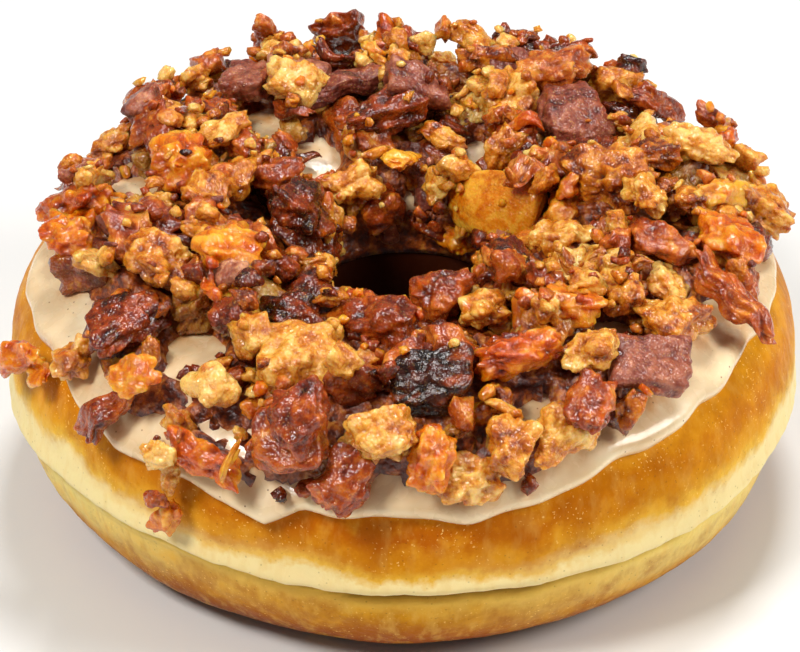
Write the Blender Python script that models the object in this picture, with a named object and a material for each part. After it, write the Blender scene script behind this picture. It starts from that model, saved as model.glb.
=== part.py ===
"""A whole ring doughnut, iced on top and heaped with chopped bacon.

It stands on its flat base. The origin is the middle of the hole at the height of the base, +Z is
up, and the side with the lowest icing, the front, faces -Y.

Everything is placed on the ring by three numbers: the ring angle round the hole (0 at +X, -90 at
the front), the arc, which is the way along the dough's skin from the outer waist over the top
towards the hole, and the lift off the skin.
"""

import math

import bmesh
import bpy
import numpy as np
from mathutils import Matrix, Vector, noise

MM = 0.001

# Driving sizes of the dough ring
WAIST_RADIUS = 48.0 * MM
HOLE_RADIUS = 12.0 * MM
DOUGH_HEIGHT = 32.4 * MM
WAIST_HEIGHT = 15.5 * MM
BELOW_WAIST = 16.3 * MM
CREASE_HEIGHT = 13.2 * MM
CREASE_DEPTH = 0.9 * MM
CREASE_WIDTH = 1.1 * MM
LOWER_LOBE_STEP = 1.2 * MM
TOP_SQUARENESS = 2.6
BASE_SQUARENESS = 2.4

# Driving sizes of what lies on it
GAP = 0.35 * MM
BED_CLEARANCE = 0.45 * MM
ICING_THICKNESS = 1.5 * MM
ICING_LIP = 0.25
ICING_INNER_ARC = 49.5 * MM
HEAP_HEIGHT = 4.6 * MM
HEAP_INNER_ARC = 47.0 * MM

# Facets
DOUGH_STEPS = 44
SECTION_STEPS = 24
ICING_STEPS = 52
ICING_TOP_STEPS = 9
ICING_UNDER_STEPS = 9
HEAP_STEPS = 48
HEAP_TOP_STEPS = 10
HEAP_UNDER_STEPS = 6
PIECE_CUTS = 2

TUBE_RADIUS = (WAIST_RADIUS + HOLE_RADIUS) / 2
TUBE_HALF_WIDTH = (WAIST_RADIUS - HOLE_RADIUS) / 2
HEAP_LIFT = GAP + ICING_THICKNESS * (1 + ICING_LIP) + GAP


def smooth_step(x):
    x = np.clip(x, 0, 1)
    return x * x * (3 - 2 * x)


def section_table(samples=1441):
    """The dough's cross-section as columns: arc, radius, height, and the skin's outward normal."""
    turn = np.linspace(-math.pi / 2, 1.5 * math.pi, samples)
    across, up = np.cos(turn), np.sin(turn)
    power = np.where(up > 0, 2 / TOP_SQUARENESS, 2 / BASE_SQUARENESS)
    half_height = np.where(up > 0, DOUGH_HEIGHT - WAIST_HEIGHT, BELOW_WAIST)
    height = WAIST_HEIGHT + half_height * np.sign(up) * np.abs(up) ** power
    above_crease = smooth_step((height - CREASE_HEIGHT + CREASE_WIDTH) / (2.4 * CREASE_WIDTH))
    half_width = TUBE_HALF_WIDTH - LOWER_LOBE_STEP * (1 - above_crease)
    radius = TUBE_RADIUS + half_width * np.sign(across) * np.abs(across) ** power
    height = np.maximum(height, 0)
    arc = np.append(0, np.cumsum(np.hypot(np.diff(radius), np.diff(height))))
    normal = np.stack([np.gradient(height), -np.gradient(radius)])
    normal /= np.maximum(np.hypot(*normal), 1e-12)
    return arc - arc[np.argmax(radius)], radius, height, *normal


ARC, RADIUS, HEIGHT, NORMAL_R, NORMAL_Z = section_table()


def along(column, arc):
    return np.interp(arc, ARC, column)


def swelling(angle, arc):
    """How far hand-cut dough swells past the even ring, which fades out towards the flat base."""
    height = along(HEIGHT, arc)
    uneven = 0.35 * np.cos(2 * angle + 0.6) + 0.2 * np.cos(4 * angle - 1.0)
    uneven = uneven + 0.12 * np.sin(6 * angle + arc / (9 * MM))
    crease_height = CREASE_HEIGHT + (0.7 * np.sin(2 * angle + 0.5) + 0.3 * np.sin(5 * angle)) * MM
    crease = CREASE_DEPTH * np.exp(-(((height - crease_height) / CREASE_WIDTH) ** 2))
    return smooth_step(height / (7 * MM)) * (uneven * MM - crease)


def on_ring(angle, arc, lift):
    """The point at that ring angle (radians), arc and lift off the dough's skin."""
    out = lift + swelling(angle, arc)
    radius = along(RADIUS, arc) + along(NORMAL_R, arc) * out
    height = along(HEIGHT, arc) + along(NORMAL_Z, arc) * out
    return np.stack([radius * np.cos(angle), radius * np.sin(angle), height], axis=-1)


def icing_outer_arc(angle):
    """Where the icing ends on the outside: low at the front, with ripples and two longer runs."""
    arc = 11.8 + 2.3 * np.sin(angle) + 2.0 * np.cos(2 * angle) - 0.9 * np.sin(2 * angle)
    arc = arc + 0.5 * np.sin(7 * angle + 0.8) + 0.35 * np.sin(12 * angle)
    for run_angle, run_length, run_width in ((-109, 2.2, 5.0), (62, 3.0, 6.0), (128, 2.4, 5.0)):
        off = (np.degrees(angle) - run_angle + 180) % 360 - 180
        arc = arc - run_length * np.exp(-((off / run_width) ** 2))
    return arc * MM


def icing_inner_arc(angle):
    return ICING_INNER_ARC + (0.9 * np.sin(3 * angle) + 0.6 * np.sin(8 * angle + 1)) * MM


def heap_outer_arc(angle):
    """The bacon reaches the icing's edge at front and back and leaves it bare at the sides."""
    margin = 4.1 + 1.4 * np.cos(2 * angle) + 0.5 * np.sin(5 * angle) + 0.4 * np.sin(9 * angle + 2)
    return icing_outer_arc(angle) + margin * MM


def heap_inner_arc(angle):
    return HEAP_INNER_ARC + (1.0 * np.sin(2 * angle + 1) + 0.8 * np.sin(7 * angle)) * MM


def rounded_ends(share, squareness):
    """0 at both ends of 0..1 and 1 in the middle, with a rounded shoulder."""
    return np.sqrt(np.maximum(1 - np.abs(2 * share - 1) ** squareness, 0))


def icing_thickness(share):
    lip = np.exp(-((share / 0.12) ** 2)) + np.exp(-(((1 - share) / 0.12) ** 2))
    return ICING_THICKNESS * (1 + ICING_LIP * lip) * rounded_ends(share, 10)


def heap_thickness(angle, arc, share):
    """A lumpy height, largest along the crest of the ring."""
    point = on_ring(angle, arc, 0.0) / (7.5 * MM)
    lumps = noise.noise(Vector(point)) + 0.6 * noise.noise(Vector(point * 2.1 + 5))
    back_rise = 1 + 0.18 * math.sin(angle)
    return HEAP_HEIGHT * back_rise * (1 + 0.8 * lumps) * rounded_ends(share, 2.6)


def new_object(name, mesh, material):
    mesh.materials.append(material)
    obj = bpy.data.objects.new(name, mesh)
    bpy.context.scene.collection.objects.link(obj)
    return obj


def food_material(name, colour, roughness):
    material = bpy.data.materials.new(name)
    material.use_nodes = True
    surface = material.node_tree.nodes["Principled BSDF"]
    surface.inputs["Base Color"].default_value = (*colour, 1.0)
    surface.inputs["Roughness"].default_value = roughness
    surface.inputs["Metallic"].default_value = 0.0
    return material


def ring_of_loops(name, loops, material):
    """A closed ring from one closed loop of points for each ring angle, all the same way round."""
    bm = bmesh.new()
    rows = [[bm.verts.new(point) for point in loop] for loop in loops]
    for here, after in zip(rows, rows[1:] + rows[:1]):
        for i in range(len(here)):
            j = (i + 1) % len(here)
            bm.faces.new((here[i], after[i], after[j], here[j]))
    bmesh.ops.triangulate(bm, faces=bm.faces)
    bmesh.ops.recalc_face_normals(bm, faces=bm.faces)
    mesh = bpy.data.meshes.new(name)
    bm.to_mesh(mesh)
    bm.free()
    mesh.shade_smooth()
    return new_object(name, mesh, material)


def ring_angles(steps):
    return [2 * math.pi * i / steps for i in range(steps)]


def section_arcs(steps):
    """Arcs over the dough from one edge of its flat base to the other.

    They are closest together at the crease and where the skin curves.
    """
    raised = np.flatnonzero(HEIGHT > 0)
    over = slice(raised[0] - 1, raised[-1] + 2)
    arc, height = ARC[over], HEIGHT[over]
    turning = np.hypot(np.gradient(NORMAL_R, ARC), np.gradient(NORMAL_Z, ARC))[over]
    near_crease = np.exp(-(((height - CREASE_HEIGHT) / (2 * CREASE_WIDTH)) ** 2))
    density = 1 + 0.35 * np.minimum(turning * TUBE_HALF_WIDTH, 3) + 2.2 * near_crease
    share = np.append(0, np.cumsum(np.diff(arc) * density[1:]))
    return np.interp(np.linspace(0, share[-1], steps), share, arc)


def dough_ring(material):
    arcs = section_arcs(SECTION_STEPS)
    loops = [on_ring(angle, arcs, 0.0) for angle in ring_angles(DOUGH_STEPS)]
    for loop in loops:
        loop[[0, -1], 2] = 0
    return ring_of_loops("dough_ring", loops, material)


def layer_loop(angle, outer_arc, inner_arc, under_lift, thickness_at, top_steps, under_steps):
    """The cross-section of something that lies on the ring: over its top, then back underneath."""
    top = (1 - np.cos(np.linspace(0, math.pi, top_steps + 1))) / 2
    under = np.linspace(1, 0, under_steps + 1)[1:-1]
    loop = []
    for share, is_top in [(s, True) for s in top] + [(s, False) for s in under]:
        arc = outer_arc + share * (inner_arc - outer_arc)
        lift = under_lift + (thickness_at(arc, share) if is_top else 0.0)
        loop.append(on_ring(angle, arc, lift))
    return loop


def icing(material):
    loops = [
        layer_loop(
            angle,
            icing_outer_arc(angle),
            icing_inner_arc(angle),
            GAP,
            lambda arc, share: icing_thickness(share),
            ICING_TOP_STEPS,
            ICING_UNDER_STEPS,
        )
        for angle in ring_angles(ICING_STEPS)
    ]
    return ring_of_loops("icing", loops, material)


def bacon_heap(material):
    loops = [
        layer_loop(
            angle,
            heap_outer_arc(angle),
            heap_inner_arc(angle),
            HEAP_LIFT,
            lambda arc, share, angle=angle: heap_thickness(angle, arc, share),
            HEAP_TOP_STEPS,
            HEAP_UNDER_STEPS,
        )
        for angle in ring_angles(HEAP_STEPS)
    ]
    return ring_of_loops("bacon_heap", loops, material)


def ring_frame(angle, arc, lift):
    """A matrix whose X runs round the ring, Y up the skin towards the hole, and Z off the skin."""
    origin = Vector(on_ring(angle, arc, lift))
    off_skin = Vector(
        (
            float(along(NORMAL_R, arc)) * math.cos(angle),
            float(along(NORMAL_R, arc)) * math.sin(angle),
            float(along(NORMAL_Z, arc)),
        )
    )
    round_ring = Vector((-math.sin(angle), math.cos(angle), 0))
    up_skin = off_skin.cross(round_ring)
    axes = Matrix((round_ring, up_skin, off_skin)).transposed()
    return Matrix.Translation(origin) @ axes.to_4x4()


def bent(point, bend):
    """Curls a point along X over the top of a circle; bend is the whole turn in radians per metre."""
    if not bend:
        return point
    turn = point.x * bend
    radius = 1 / bend + point.z
    return Vector((radius * math.sin(turn), point.y, radius * math.cos(turn) - 1 / bend))


def piece_mesh(name, size, boxiness, roughness, bend, taper):
    """A torn or chopped lump: between a ball and a block, narrowed, roughened and curled."""
    bm = bmesh.new()
    bmesh.ops.create_cube(bm, size=2)
    bmesh.ops.subdivide_edges(bm, edges=bm.edges, cuts=PIECE_CUTS, use_grid_fill=True)
    half = Vector(size) / 2
    seed = Vector((len(name) * 1.7, sum(map(ord, name)) % 97 * 0.31, 2.0))
    for vert in bm.verts:
        ball = vert.co.normalized()
        shape = ball.lerp(vert.co * 0.86, boxiness)
        shape *= 1 + roughness * noise.noise(ball * 1.1 + seed)
        point = Vector(a * b for a, b in zip(shape, half))
        point.y *= 1 + taper * shape.x
        point.z *= 1 + 0.5 * taper * shape.x
        vert.co = bent(point, bend)
    bmesh.ops.triangulate(bm, faces=bm.faces)
    mesh = bpy.data.meshes.new(name)
    bm.to_mesh(mesh)
    bm.free()
    return mesh


def bacon_piece(name, material, at, lift, size, turn=0, pitch=0, roll=0, boxiness=0.5, roughness=0.3,
                bend=0, taper=0):
    """One large piece at (ring angle in degrees, arc in mm), with its lift and size in mm."""
    size = [side * MM for side in size]
    mesh = piece_mesh(name, size, boxiness, roughness, math.radians(bend) / size[0], taper)
    piece = new_object(name, mesh, material)
    mesh.shade_smooth()
    spin = Matrix.Rotation(math.radians(turn), 4, "Z")
    lean = Matrix.Rotation(math.radians(pitch), 4, "Y")
    tip = Matrix.Rotation(math.radians(roll), 4, "X")
    frame = ring_frame(math.radians(at[0]), at[1] * MM, lift * MM)
    piece.matrix_world = frame @ spin @ lean @ tip
    return piece


def bed_of(piece):
    """A slightly larger copy of the piece, which hollows the heap so that a gap runs all round."""
    mesh = piece.data.copy()
    bm = bmesh.new()
    bm.from_mesh(mesh)
    bm.normal_update()
    moves = [(vert, vert.normal.copy()) for vert in bm.verts]
    for vert, outward in moves:
        vert.co += outward * BED_CLEARANCE
    bm.to_mesh(mesh)
    bm.free()
    bed = bpy.data.objects.new(piece.name + "_bed", mesh)
    bed.matrix_world = piece.matrix_world
    bed.hide_render = True
    bed.display_type = "WIRE"
    return bed


def cut_beds(heap, pieces):
    """Takes the beds of all the pieces out of the heap at once."""
    beds = bpy.data.collections.new("beds")
    bpy.context.scene.collection.children.link(beds)
    for piece in pieces:
        beds.objects.link(bed_of(piece))
    cut = heap.modifiers.new("beds", "BOOLEAN")
    cut.operation = "DIFFERENCE"
    cut.solver = "EXACT"
    cut.operand_type = "COLLECTION"
    cut.collection = beds


def large_pieces():
    """The pieces of bacon as large as a berry, each its own solid."""
    lean = food_material("lean_bacon", (0.19, 0.045, 0.022), 0.35)
    mauve = food_material("mauve_lean", (0.30, 0.115, 0.085), 0.45)
    burnt = food_material("burnt_bacon", (0.035, 0.012, 0.008), 0.3)
    fat = food_material("golden_fat", (0.62, 0.30, 0.07), 0.3)
    amber = food_material("amber_fat", (0.55, 0.19, 0.02), 0.25)

    return [
        # Front and sides, from left to right
        bacon_piece("lean_slab_left", lean, (-142.5, 20.0), 5.2, (11.5, 8, 4), turn=82, roll=4,
                    boxiness=0.8, roughness=0.18),
        bacon_piece("red_strip_left", lean, (-134.5, 12.4), 4.8, (10.5, 4, 3), turn=64, bend=50,
                    boxiness=0.3, taper=-0.2),
        bacon_piece("pale_nugget", fat, (-119.5, 17.6), 5.9, (7.4, 6.4, 5.5), turn=20, boxiness=0.2,
                    roughness=0.35),
        bacon_piece("orange_curl_front", amber, (-117.5, 11.9), 4.7, (9, 4.2, 3.3), turn=-8, bend=40,
                    boxiness=0.3),
        bacon_piece("golden_nub", fat, (-109, 23.0), 6.2, (8.5, 8, 5.6), turn=35, boxiness=0.55),
        bacon_piece("brown_lump_front", lean, (-106, 14.9), 5.6, (8.8, 8, 5.2), turn=10,
                    boxiness=0.35, roughness=0.3),
        bacon_piece("pale_crumble_front", fat, (-94.5, 15.6), 5.2, (8, 6, 4.6), turn=-20,
                    boxiness=0.25, roughness=0.35),
        bacon_piece("burnt_block", burnt, (-85.5, 20.6), 5.9, (9, 6.6, 5.4), turn=4, roll=8,
                    boxiness=0.85, roughness=0.2),
        bacon_piece("tan_crumble_front", fat, (-67, 14.9), 5.4, (14, 7.4, 4.8), turn=20,
                    boxiness=0.35, roughness=0.35),
        bacon_piece("orange_strip_front", amber, (-70, 21.4), 6.9, (11, 4.4, 3.8), turn=-6,
                    boxiness=0.4, roughness=0.3, bend=25),
        bacon_piece("mauve_block_right", mauve, (-51, 17.2), 6.0, (9.6, 8, 6), turn=-35,
                    boxiness=0.75, roughness=0.25),
        bacon_piece("brown_strip_right", lean, (-27, 18.0), 5.2, (12.5, 4, 3.2), turn=72, bend=-30,
                    boxiness=0.5, taper=-0.25),
        # Back and the rim of the hole
        bacon_piece("orange_crumble_right", amber, (5, 33.0), 6.5, (10, 8, 5.6), turn=25,
                    boxiness=0.3, roughness=0.35),
        bacon_piece("fat_slab_hole", fat, (36, 43.2), 5.6, (14, 7.5, 3.4), turn=12, roll=-6,
                    boxiness=0.7, roughness=0.2, taper=0.2),
        bacon_piece("mauve_block_back", mauve, (44, 30.0), 6.2, (12, 8.5, 5), turn=-20,
                    boxiness=0.55),
        bacon_piece("lean_tip_back", lean, (100, 16.6), 7.4, (9.5, 6, 3.5), turn=70, pitch=-20,
                    boxiness=0.5, taper=-0.35),
        bacon_piece("brown_slab_back", lean, (97, 36.0), 6.3, (11, 6, 4.6), turn=15,
                    boxiness=0.5),
        bacon_piece("tan_crumble_hole", fat, (119, 43.0), 5.6, (10.5, 5.4, 4.4), turn=-6,
                    boxiness=0.3, roughness=0.3),
        bacon_piece("golden_lobe_back", fat, (129, 17.6), 6.2, (9, 7.2, 4.4), turn=40,
                    boxiness=0.2, roughness=0.3),
        bacon_piece("arch_strip_left", fat, (-180, 35.0), 7.3, (15, 5, 3), turn=-22, bend=85,
                    boxiness=0.4, roughness=0.3),
    ]


def main():
    for old in list(bpy.data.objects):
        bpy.data.objects.remove(old)
    dough_ring(food_material("fried_dough", (0.62, 0.33, 0.08), 0.5))
    icing(food_material("maple_icing", (0.68, 0.49, 0.31), 0.25))
    heap = bacon_heap(food_material("chopped_bacon", (0.42, 0.17, 0.04), 0.35))
    cut_beds(heap, large_pieces())


main()
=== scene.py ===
"""A whole iced ring doughnut with a heap of chopped bacon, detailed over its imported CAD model.

Lengths are in millimetres until a mesh is made. A place on the ring is its ring angle in degrees
(0 at +X, -90 at the front), its arc, the way along the dough's skin from the outer waist over the
top towards the hole, and its lift off the skin.
"""

import math
from collections import namedtuple

import bpy
import numpy as np
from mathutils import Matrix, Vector


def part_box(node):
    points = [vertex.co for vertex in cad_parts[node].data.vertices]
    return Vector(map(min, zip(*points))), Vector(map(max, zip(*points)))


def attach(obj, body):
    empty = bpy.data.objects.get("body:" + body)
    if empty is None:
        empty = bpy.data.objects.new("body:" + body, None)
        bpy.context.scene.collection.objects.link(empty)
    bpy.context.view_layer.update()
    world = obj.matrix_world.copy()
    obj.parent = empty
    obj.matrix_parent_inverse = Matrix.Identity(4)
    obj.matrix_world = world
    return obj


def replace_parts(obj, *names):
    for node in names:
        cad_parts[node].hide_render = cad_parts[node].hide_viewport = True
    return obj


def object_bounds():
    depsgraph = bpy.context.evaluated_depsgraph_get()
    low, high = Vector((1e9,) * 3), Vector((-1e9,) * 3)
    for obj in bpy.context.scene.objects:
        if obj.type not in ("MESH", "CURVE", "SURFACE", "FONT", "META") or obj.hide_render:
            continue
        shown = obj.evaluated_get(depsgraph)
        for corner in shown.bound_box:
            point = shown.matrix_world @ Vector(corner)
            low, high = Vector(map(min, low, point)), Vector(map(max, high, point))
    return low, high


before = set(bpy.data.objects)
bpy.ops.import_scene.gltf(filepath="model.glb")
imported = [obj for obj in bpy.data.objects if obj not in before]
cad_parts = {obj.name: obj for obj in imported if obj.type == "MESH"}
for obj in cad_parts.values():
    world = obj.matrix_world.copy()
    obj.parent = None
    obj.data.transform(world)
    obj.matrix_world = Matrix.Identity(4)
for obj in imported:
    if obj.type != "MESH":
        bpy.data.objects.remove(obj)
CAD_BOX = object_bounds()
MM = 0.001


def in_mm(box):
    return [np.array(corner) / MM for corner in box]


def unit(rows):
    return rows / np.linalg.norm(rows, axis=1, keepdims=True)


def link(name, data):
    """A new object in the scene."""
    obj = bpy.data.objects.new(name, data)
    bpy.context.scene.collection.objects.link(obj)
    return obj


def node_points(name):
    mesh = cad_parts[name].data
    points = np.zeros(len(mesh.vertices) * 3, np.float32)
    mesh.vertices.foreach_get("co", points)
    return points.reshape(-1, 3).astype(float) / MM


# ---- numbers that look random

PRIMES = (np.uint32(0x8DA6B343), np.uint32(0xD8163841), np.uint32(0xCB1AB31F))


def lattice(cell, seed):
    """A number from 0 to 1 that looks random, for each whole-number cell."""
    i, j, k = (cell[..., n].astype(np.int64).astype(np.uint32) * PRIMES[n] for n in range(3))
    h = i ^ j ^ k ^ np.uint32(seed * 2654435761 % 2**32)
    for shift, factor in ((15, 0x85EBCA6B), (13, 0xC2B2AE35)):
        h ^= h >> np.uint32(shift)
        h = h * np.uint32(factor)
    h ^= h >> np.uint32(16)
    return (h / 2**32).astype(np.float32)


def smooth_noise(points, seed=0):
    """Smooth noise from -1 to 1 with features about one unit across."""
    base = np.floor(points)
    t = (points - base).astype(np.float32)
    t = t * t * t * (t * (t * 6 - 15) + 10)
    total = np.zeros(len(points), np.float32)
    for corner in np.ndindex(2, 2, 2):
        weight = np.prod(np.where(corner, t, 1 - t), axis=1)
        total += weight * lattice(base + corner, seed)
    return total * 2 - 1


def noise(points, size, seed=0, octaves=2):
    """Layers of smooth noise: features of that size in mm, then ever finer and weaker ones."""
    total = 0
    for octave in range(octaves):
        total = total + smooth_noise(points / size * 2.03**octave, seed + octave) / 1.9**octave
    return total / 1.4


def cell_distance(points, size, seed=0):
    """The distance to the nearest of points scattered one to a cell, in cells."""
    points = points / size
    base = np.floor(points)
    nearest = np.full(len(points), 9.0, np.float32)
    for step in np.ndindex(3, 3, 3):
        cell = base + np.array(step) - 1
        seat = np.stack([lattice(cell, seed + n) for n in (1, 2, 3)], axis=1)
        nearest = np.minimum(nearest, ((points - cell - seat) ** 2).sum(1))
    return np.sqrt(nearest)


def ease(low, high, x):
    """A smooth rise from 0 at low to 1 at high."""
    x = np.clip((x - low) / (high - low), 0, 1)
    return x * x * (3 - 2 * x)


# ---- the dough's section

LOW, HIGH = in_mm(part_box("dough_ring"))
WAIST_RADIUS = (HIGH[0] - LOW[0]) / 2 - 0.35
HOLE_RADIUS = np.hypot(*node_points("dough_ring")[:, :2].T).min() + 0.45
DOUGH_HEIGHT = HIGH[2] - 0.4
WAIST_HEIGHT = 15.5
BELOW_WAIST = 16.3
CREASE_HEIGHT = 13.2
TUBE_RADIUS = (WAIST_RADIUS + HOLE_RADIUS) / 2
TUBE_HALF_WIDTH = (WAIST_RADIUS - HOLE_RADIUS) / 2
LOWER_HALF_STEP = 1.2  # how much narrower the lower fried half is
TOP_SQUARENESS, FOOT_SQUARENESS = 2.6, 2.4

# Arcs down towards the hole where the icing, the loose bits and the bed end
ICING_END = 46.5
BITS_END = 48.5
BED_END = 50.5
ICING_TOP = 1.9  # the lift of the icing's upper side


def section_table(samples=5761):
    """Arc, radius, height and outward normal along the section, an uneven squared oval."""
    turn = np.linspace(-math.pi / 2, 1.5 * math.pi, samples)
    across, up = np.cos(turn), np.sin(turn)
    power = np.where(up > 0, 2 / TOP_SQUARENESS, 2 / FOOT_SQUARENESS)
    half_height = np.where(up > 0, DOUGH_HEIGHT - WAIST_HEIGHT, BELOW_WAIST)
    height = WAIST_HEIGHT + half_height * np.sign(up) * np.abs(up) ** power
    upper = ease(-1.1, 1.54, height - CREASE_HEIGHT)
    half_width = TUBE_HALF_WIDTH - LOWER_HALF_STEP * (1 - upper)
    radius = TUBE_RADIUS + half_width * np.sign(across) * np.abs(across) ** power
    height = np.maximum(height, 0)
    arc = np.append(0, np.cumsum(np.hypot(np.diff(radius), np.diff(height))))
    normal = np.stack([np.gradient(height), -np.gradient(radius)])
    normal /= np.maximum(np.hypot(*normal), 1e-9)
    return arc - arc[np.argmax(radius)], radius, height, *normal


ARC, RADIUS, HEIGHT, NORMAL_R, NORMAL_Z = section_table()


def along(column, arc):
    """A column of the section's table at those arcs."""
    return np.interp(arc, ARC, column)


def swelling(angle, arc):
    """How far hand-cut dough swells past the even ring; angle in radians."""
    height = along(HEIGHT, arc)
    uneven = 0.35 * np.cos(2 * angle + 0.6) + 0.2 * np.cos(4 * angle - 1.0)
    uneven = uneven + 0.12 * np.sin(6 * angle + arc / 9)
    return ease(0, 7, height) * uneven


def crease_level(angle):
    """The wavy height of the fold."""
    level = CREASE_HEIGHT + 0.7 * np.sin(2 * angle + 0.5) + 0.3 * np.sin(5 * angle)
    return level + 0.15 * np.sin(17 * angle + 1) + 0.1 * np.sin(31 * angle)


def crease(angle, arc):
    """The fold between the two fried halves: a narrow groove under a soft overhanging lip."""
    off = along(HEIGHT, arc) - crease_level(angle)
    outside = along(NORMAL_R, arc) > 0
    depth = 1.0 + 0.25 * np.sin(3 * angle + 1)
    groove = depth * np.exp(-((off / np.where(off > 0, 0.45, 0.6)) ** 2))
    lip = 0.35 * np.exp(-(((off - 1.6) / 1.1) ** 2))
    return np.where(outside, lip - groove, -0.3 * groove)


def on_skin(angle, arc, lift):
    """Points at that ring angle (radians), arc and lift, and the skin's outward normals there."""
    out = lift + swelling(angle, arc)
    radius = along(RADIUS, arc) + along(NORMAL_R, arc) * out
    height = along(HEIGHT, arc) + along(NORMAL_Z, arc) * out
    points = np.stack([radius * np.cos(angle), radius * np.sin(angle), height], axis=-1)
    tilt = along(NORMAL_R, arc)
    normals = np.stack([tilt * np.cos(angle), tilt * np.sin(angle), along(NORMAL_Z, arc)], axis=-1)
    return points, normals


SEAT_PITCH = 0.25
SEAT_LOW = 12  # the height at which the table below starts


def inverse_table():
    """The arc and lift of each radius and height in the upper part of the ring's section."""
    radii, heights = np.arange(0, 60, SEAT_PITCH), np.arange(SEAT_LOW, 50, SEAT_PITCH)
    radius, height = np.meshgrid(radii, heights, indexing="ij")
    keep = (ARC > -6) & (ARC < 62)
    arcs, r, z = (column[keep][::8] for column in (ARC, RADIUS, HEIGHT))
    away = np.hypot(radius.reshape(-1, 1) - r, height.reshape(-1, 1) - z)
    best = away.argmin(axis=1)
    return arcs[best].reshape(radius.shape), away.min(axis=1).reshape(radius.shape)


SEAT_ARC, SEAT_LIFT = inverse_table()


def ring_coordinates(points):
    """Ring angle, arc and lift of points over the upper half of the ring."""
    x, y, z = points.T
    i = np.clip(np.hypot(x, y) / SEAT_PITCH, 0, SEAT_ARC.shape[0] - 1).astype(int)
    j = np.clip((z - SEAT_LOW) / SEAT_PITCH, 0, SEAT_ARC.shape[1] - 1).astype(int)
    return np.arctan2(y, x) % math.tau, SEAT_ARC[i, j], SEAT_LIFT[i, j]


def whole_degrees(angle):
    """Degrees from -180 to 180 of ring angles in radians."""
    return (np.degrees(angle) + 180) % 360 - 180


def round_ring(angle, angles, values):
    """Values given at ring angles in degrees, at other ring angles in radians."""
    return np.interp(whole_degrees(angle), angles, values, period=360)


# ---- meshes


def build(name, points, quads, material, slot, attributes=None):
    """A mesh object in metres from points in mm, with its attributes, that rides on the part."""
    mesh = bpy.data.meshes.new(name)
    mesh.vertices.add(len(points))
    mesh.vertices.foreach_set("co", (points * MM).astype(np.float32).ravel())
    mesh.loops.add(quads.size)
    mesh.loops.foreach_set("vertex_index", quads.astype(np.int32).ravel())
    mesh.polygons.add(len(quads))
    mesh.polygons.foreach_set("loop_start", np.arange(0, quads.size, 4, dtype=np.int32))
    mesh.update(calc_edges=True)
    for key, values in (attributes or {}).items():
        kind, field = ("FLOAT_VECTOR", "vector") if values.ndim == 2 else ("FLOAT", "value")
        layer = mesh.attributes.new(key, kind, "POINT")
        layer.data.foreach_set(field, values.astype(np.float32).ravel())
    mesh.shade_smooth()
    mesh.materials.append(material)
    obj = link(name, mesh)
    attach(obj, "root")
    return obj


def ring_grid(steps, rows):
    """The ring angle (radians) and row value of each point of a ring of equal loops."""
    return np.repeat(np.arange(steps) * math.tau / steps, len(rows)), np.tile(rows, steps)


def ring_quads(steps, loop):
    """Faces of a ring whose sections are loops of that many points."""
    i, j = np.meshgrid(np.arange(steps), np.arange(loop), indexing="ij")
    after, along_loop = (i + 1) % steps, (j + 1) % loop
    corners = (i * loop + j, after * loop + j, after * loop + along_loop, i * loop + along_loop)
    return np.stack([c.ravel() for c in corners], axis=1)


def sheet_grid(steps, over, under):
    """A closed sheet round the ring: ring angles, shares of the way in, which are on top, faces.

    over: the shares along its upper side; under: how many more lie along its lower side.
    """
    loop = len(over) + under
    shares = np.append(over, np.linspace(1, 0, under + 2)[1:-1])
    is_top = np.tile(np.arange(loop) < len(over), steps)
    return *ring_grid(steps, shares), is_top, ring_quads(steps, loop)


def ball(n):
    """Directions and faces of a ball whose six sides have n by n faces."""
    index, faces = {}, []
    for axis in range(3):
        for side in (0, n):
            for i, j in np.ndindex(n, n):
                face = []
                for di, dj in ((0, 0), (1, 0), (1, 1), (0, 1)):
                    p = [0, 0, 0]
                    p[axis], p[(axis + 1) % 3], p[(axis + 2) % 3] = side, i + di, j + dj
                    face.append(index.setdefault(tuple(p), len(index)))
                faces.append(face if side else face[::-1])
    dirs = np.tan((np.array(list(index), float) / n * 2 - 1) * math.pi / 4)
    return unit(dirs), np.array(faces)


BALLS = {}


# ---- materials


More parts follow.
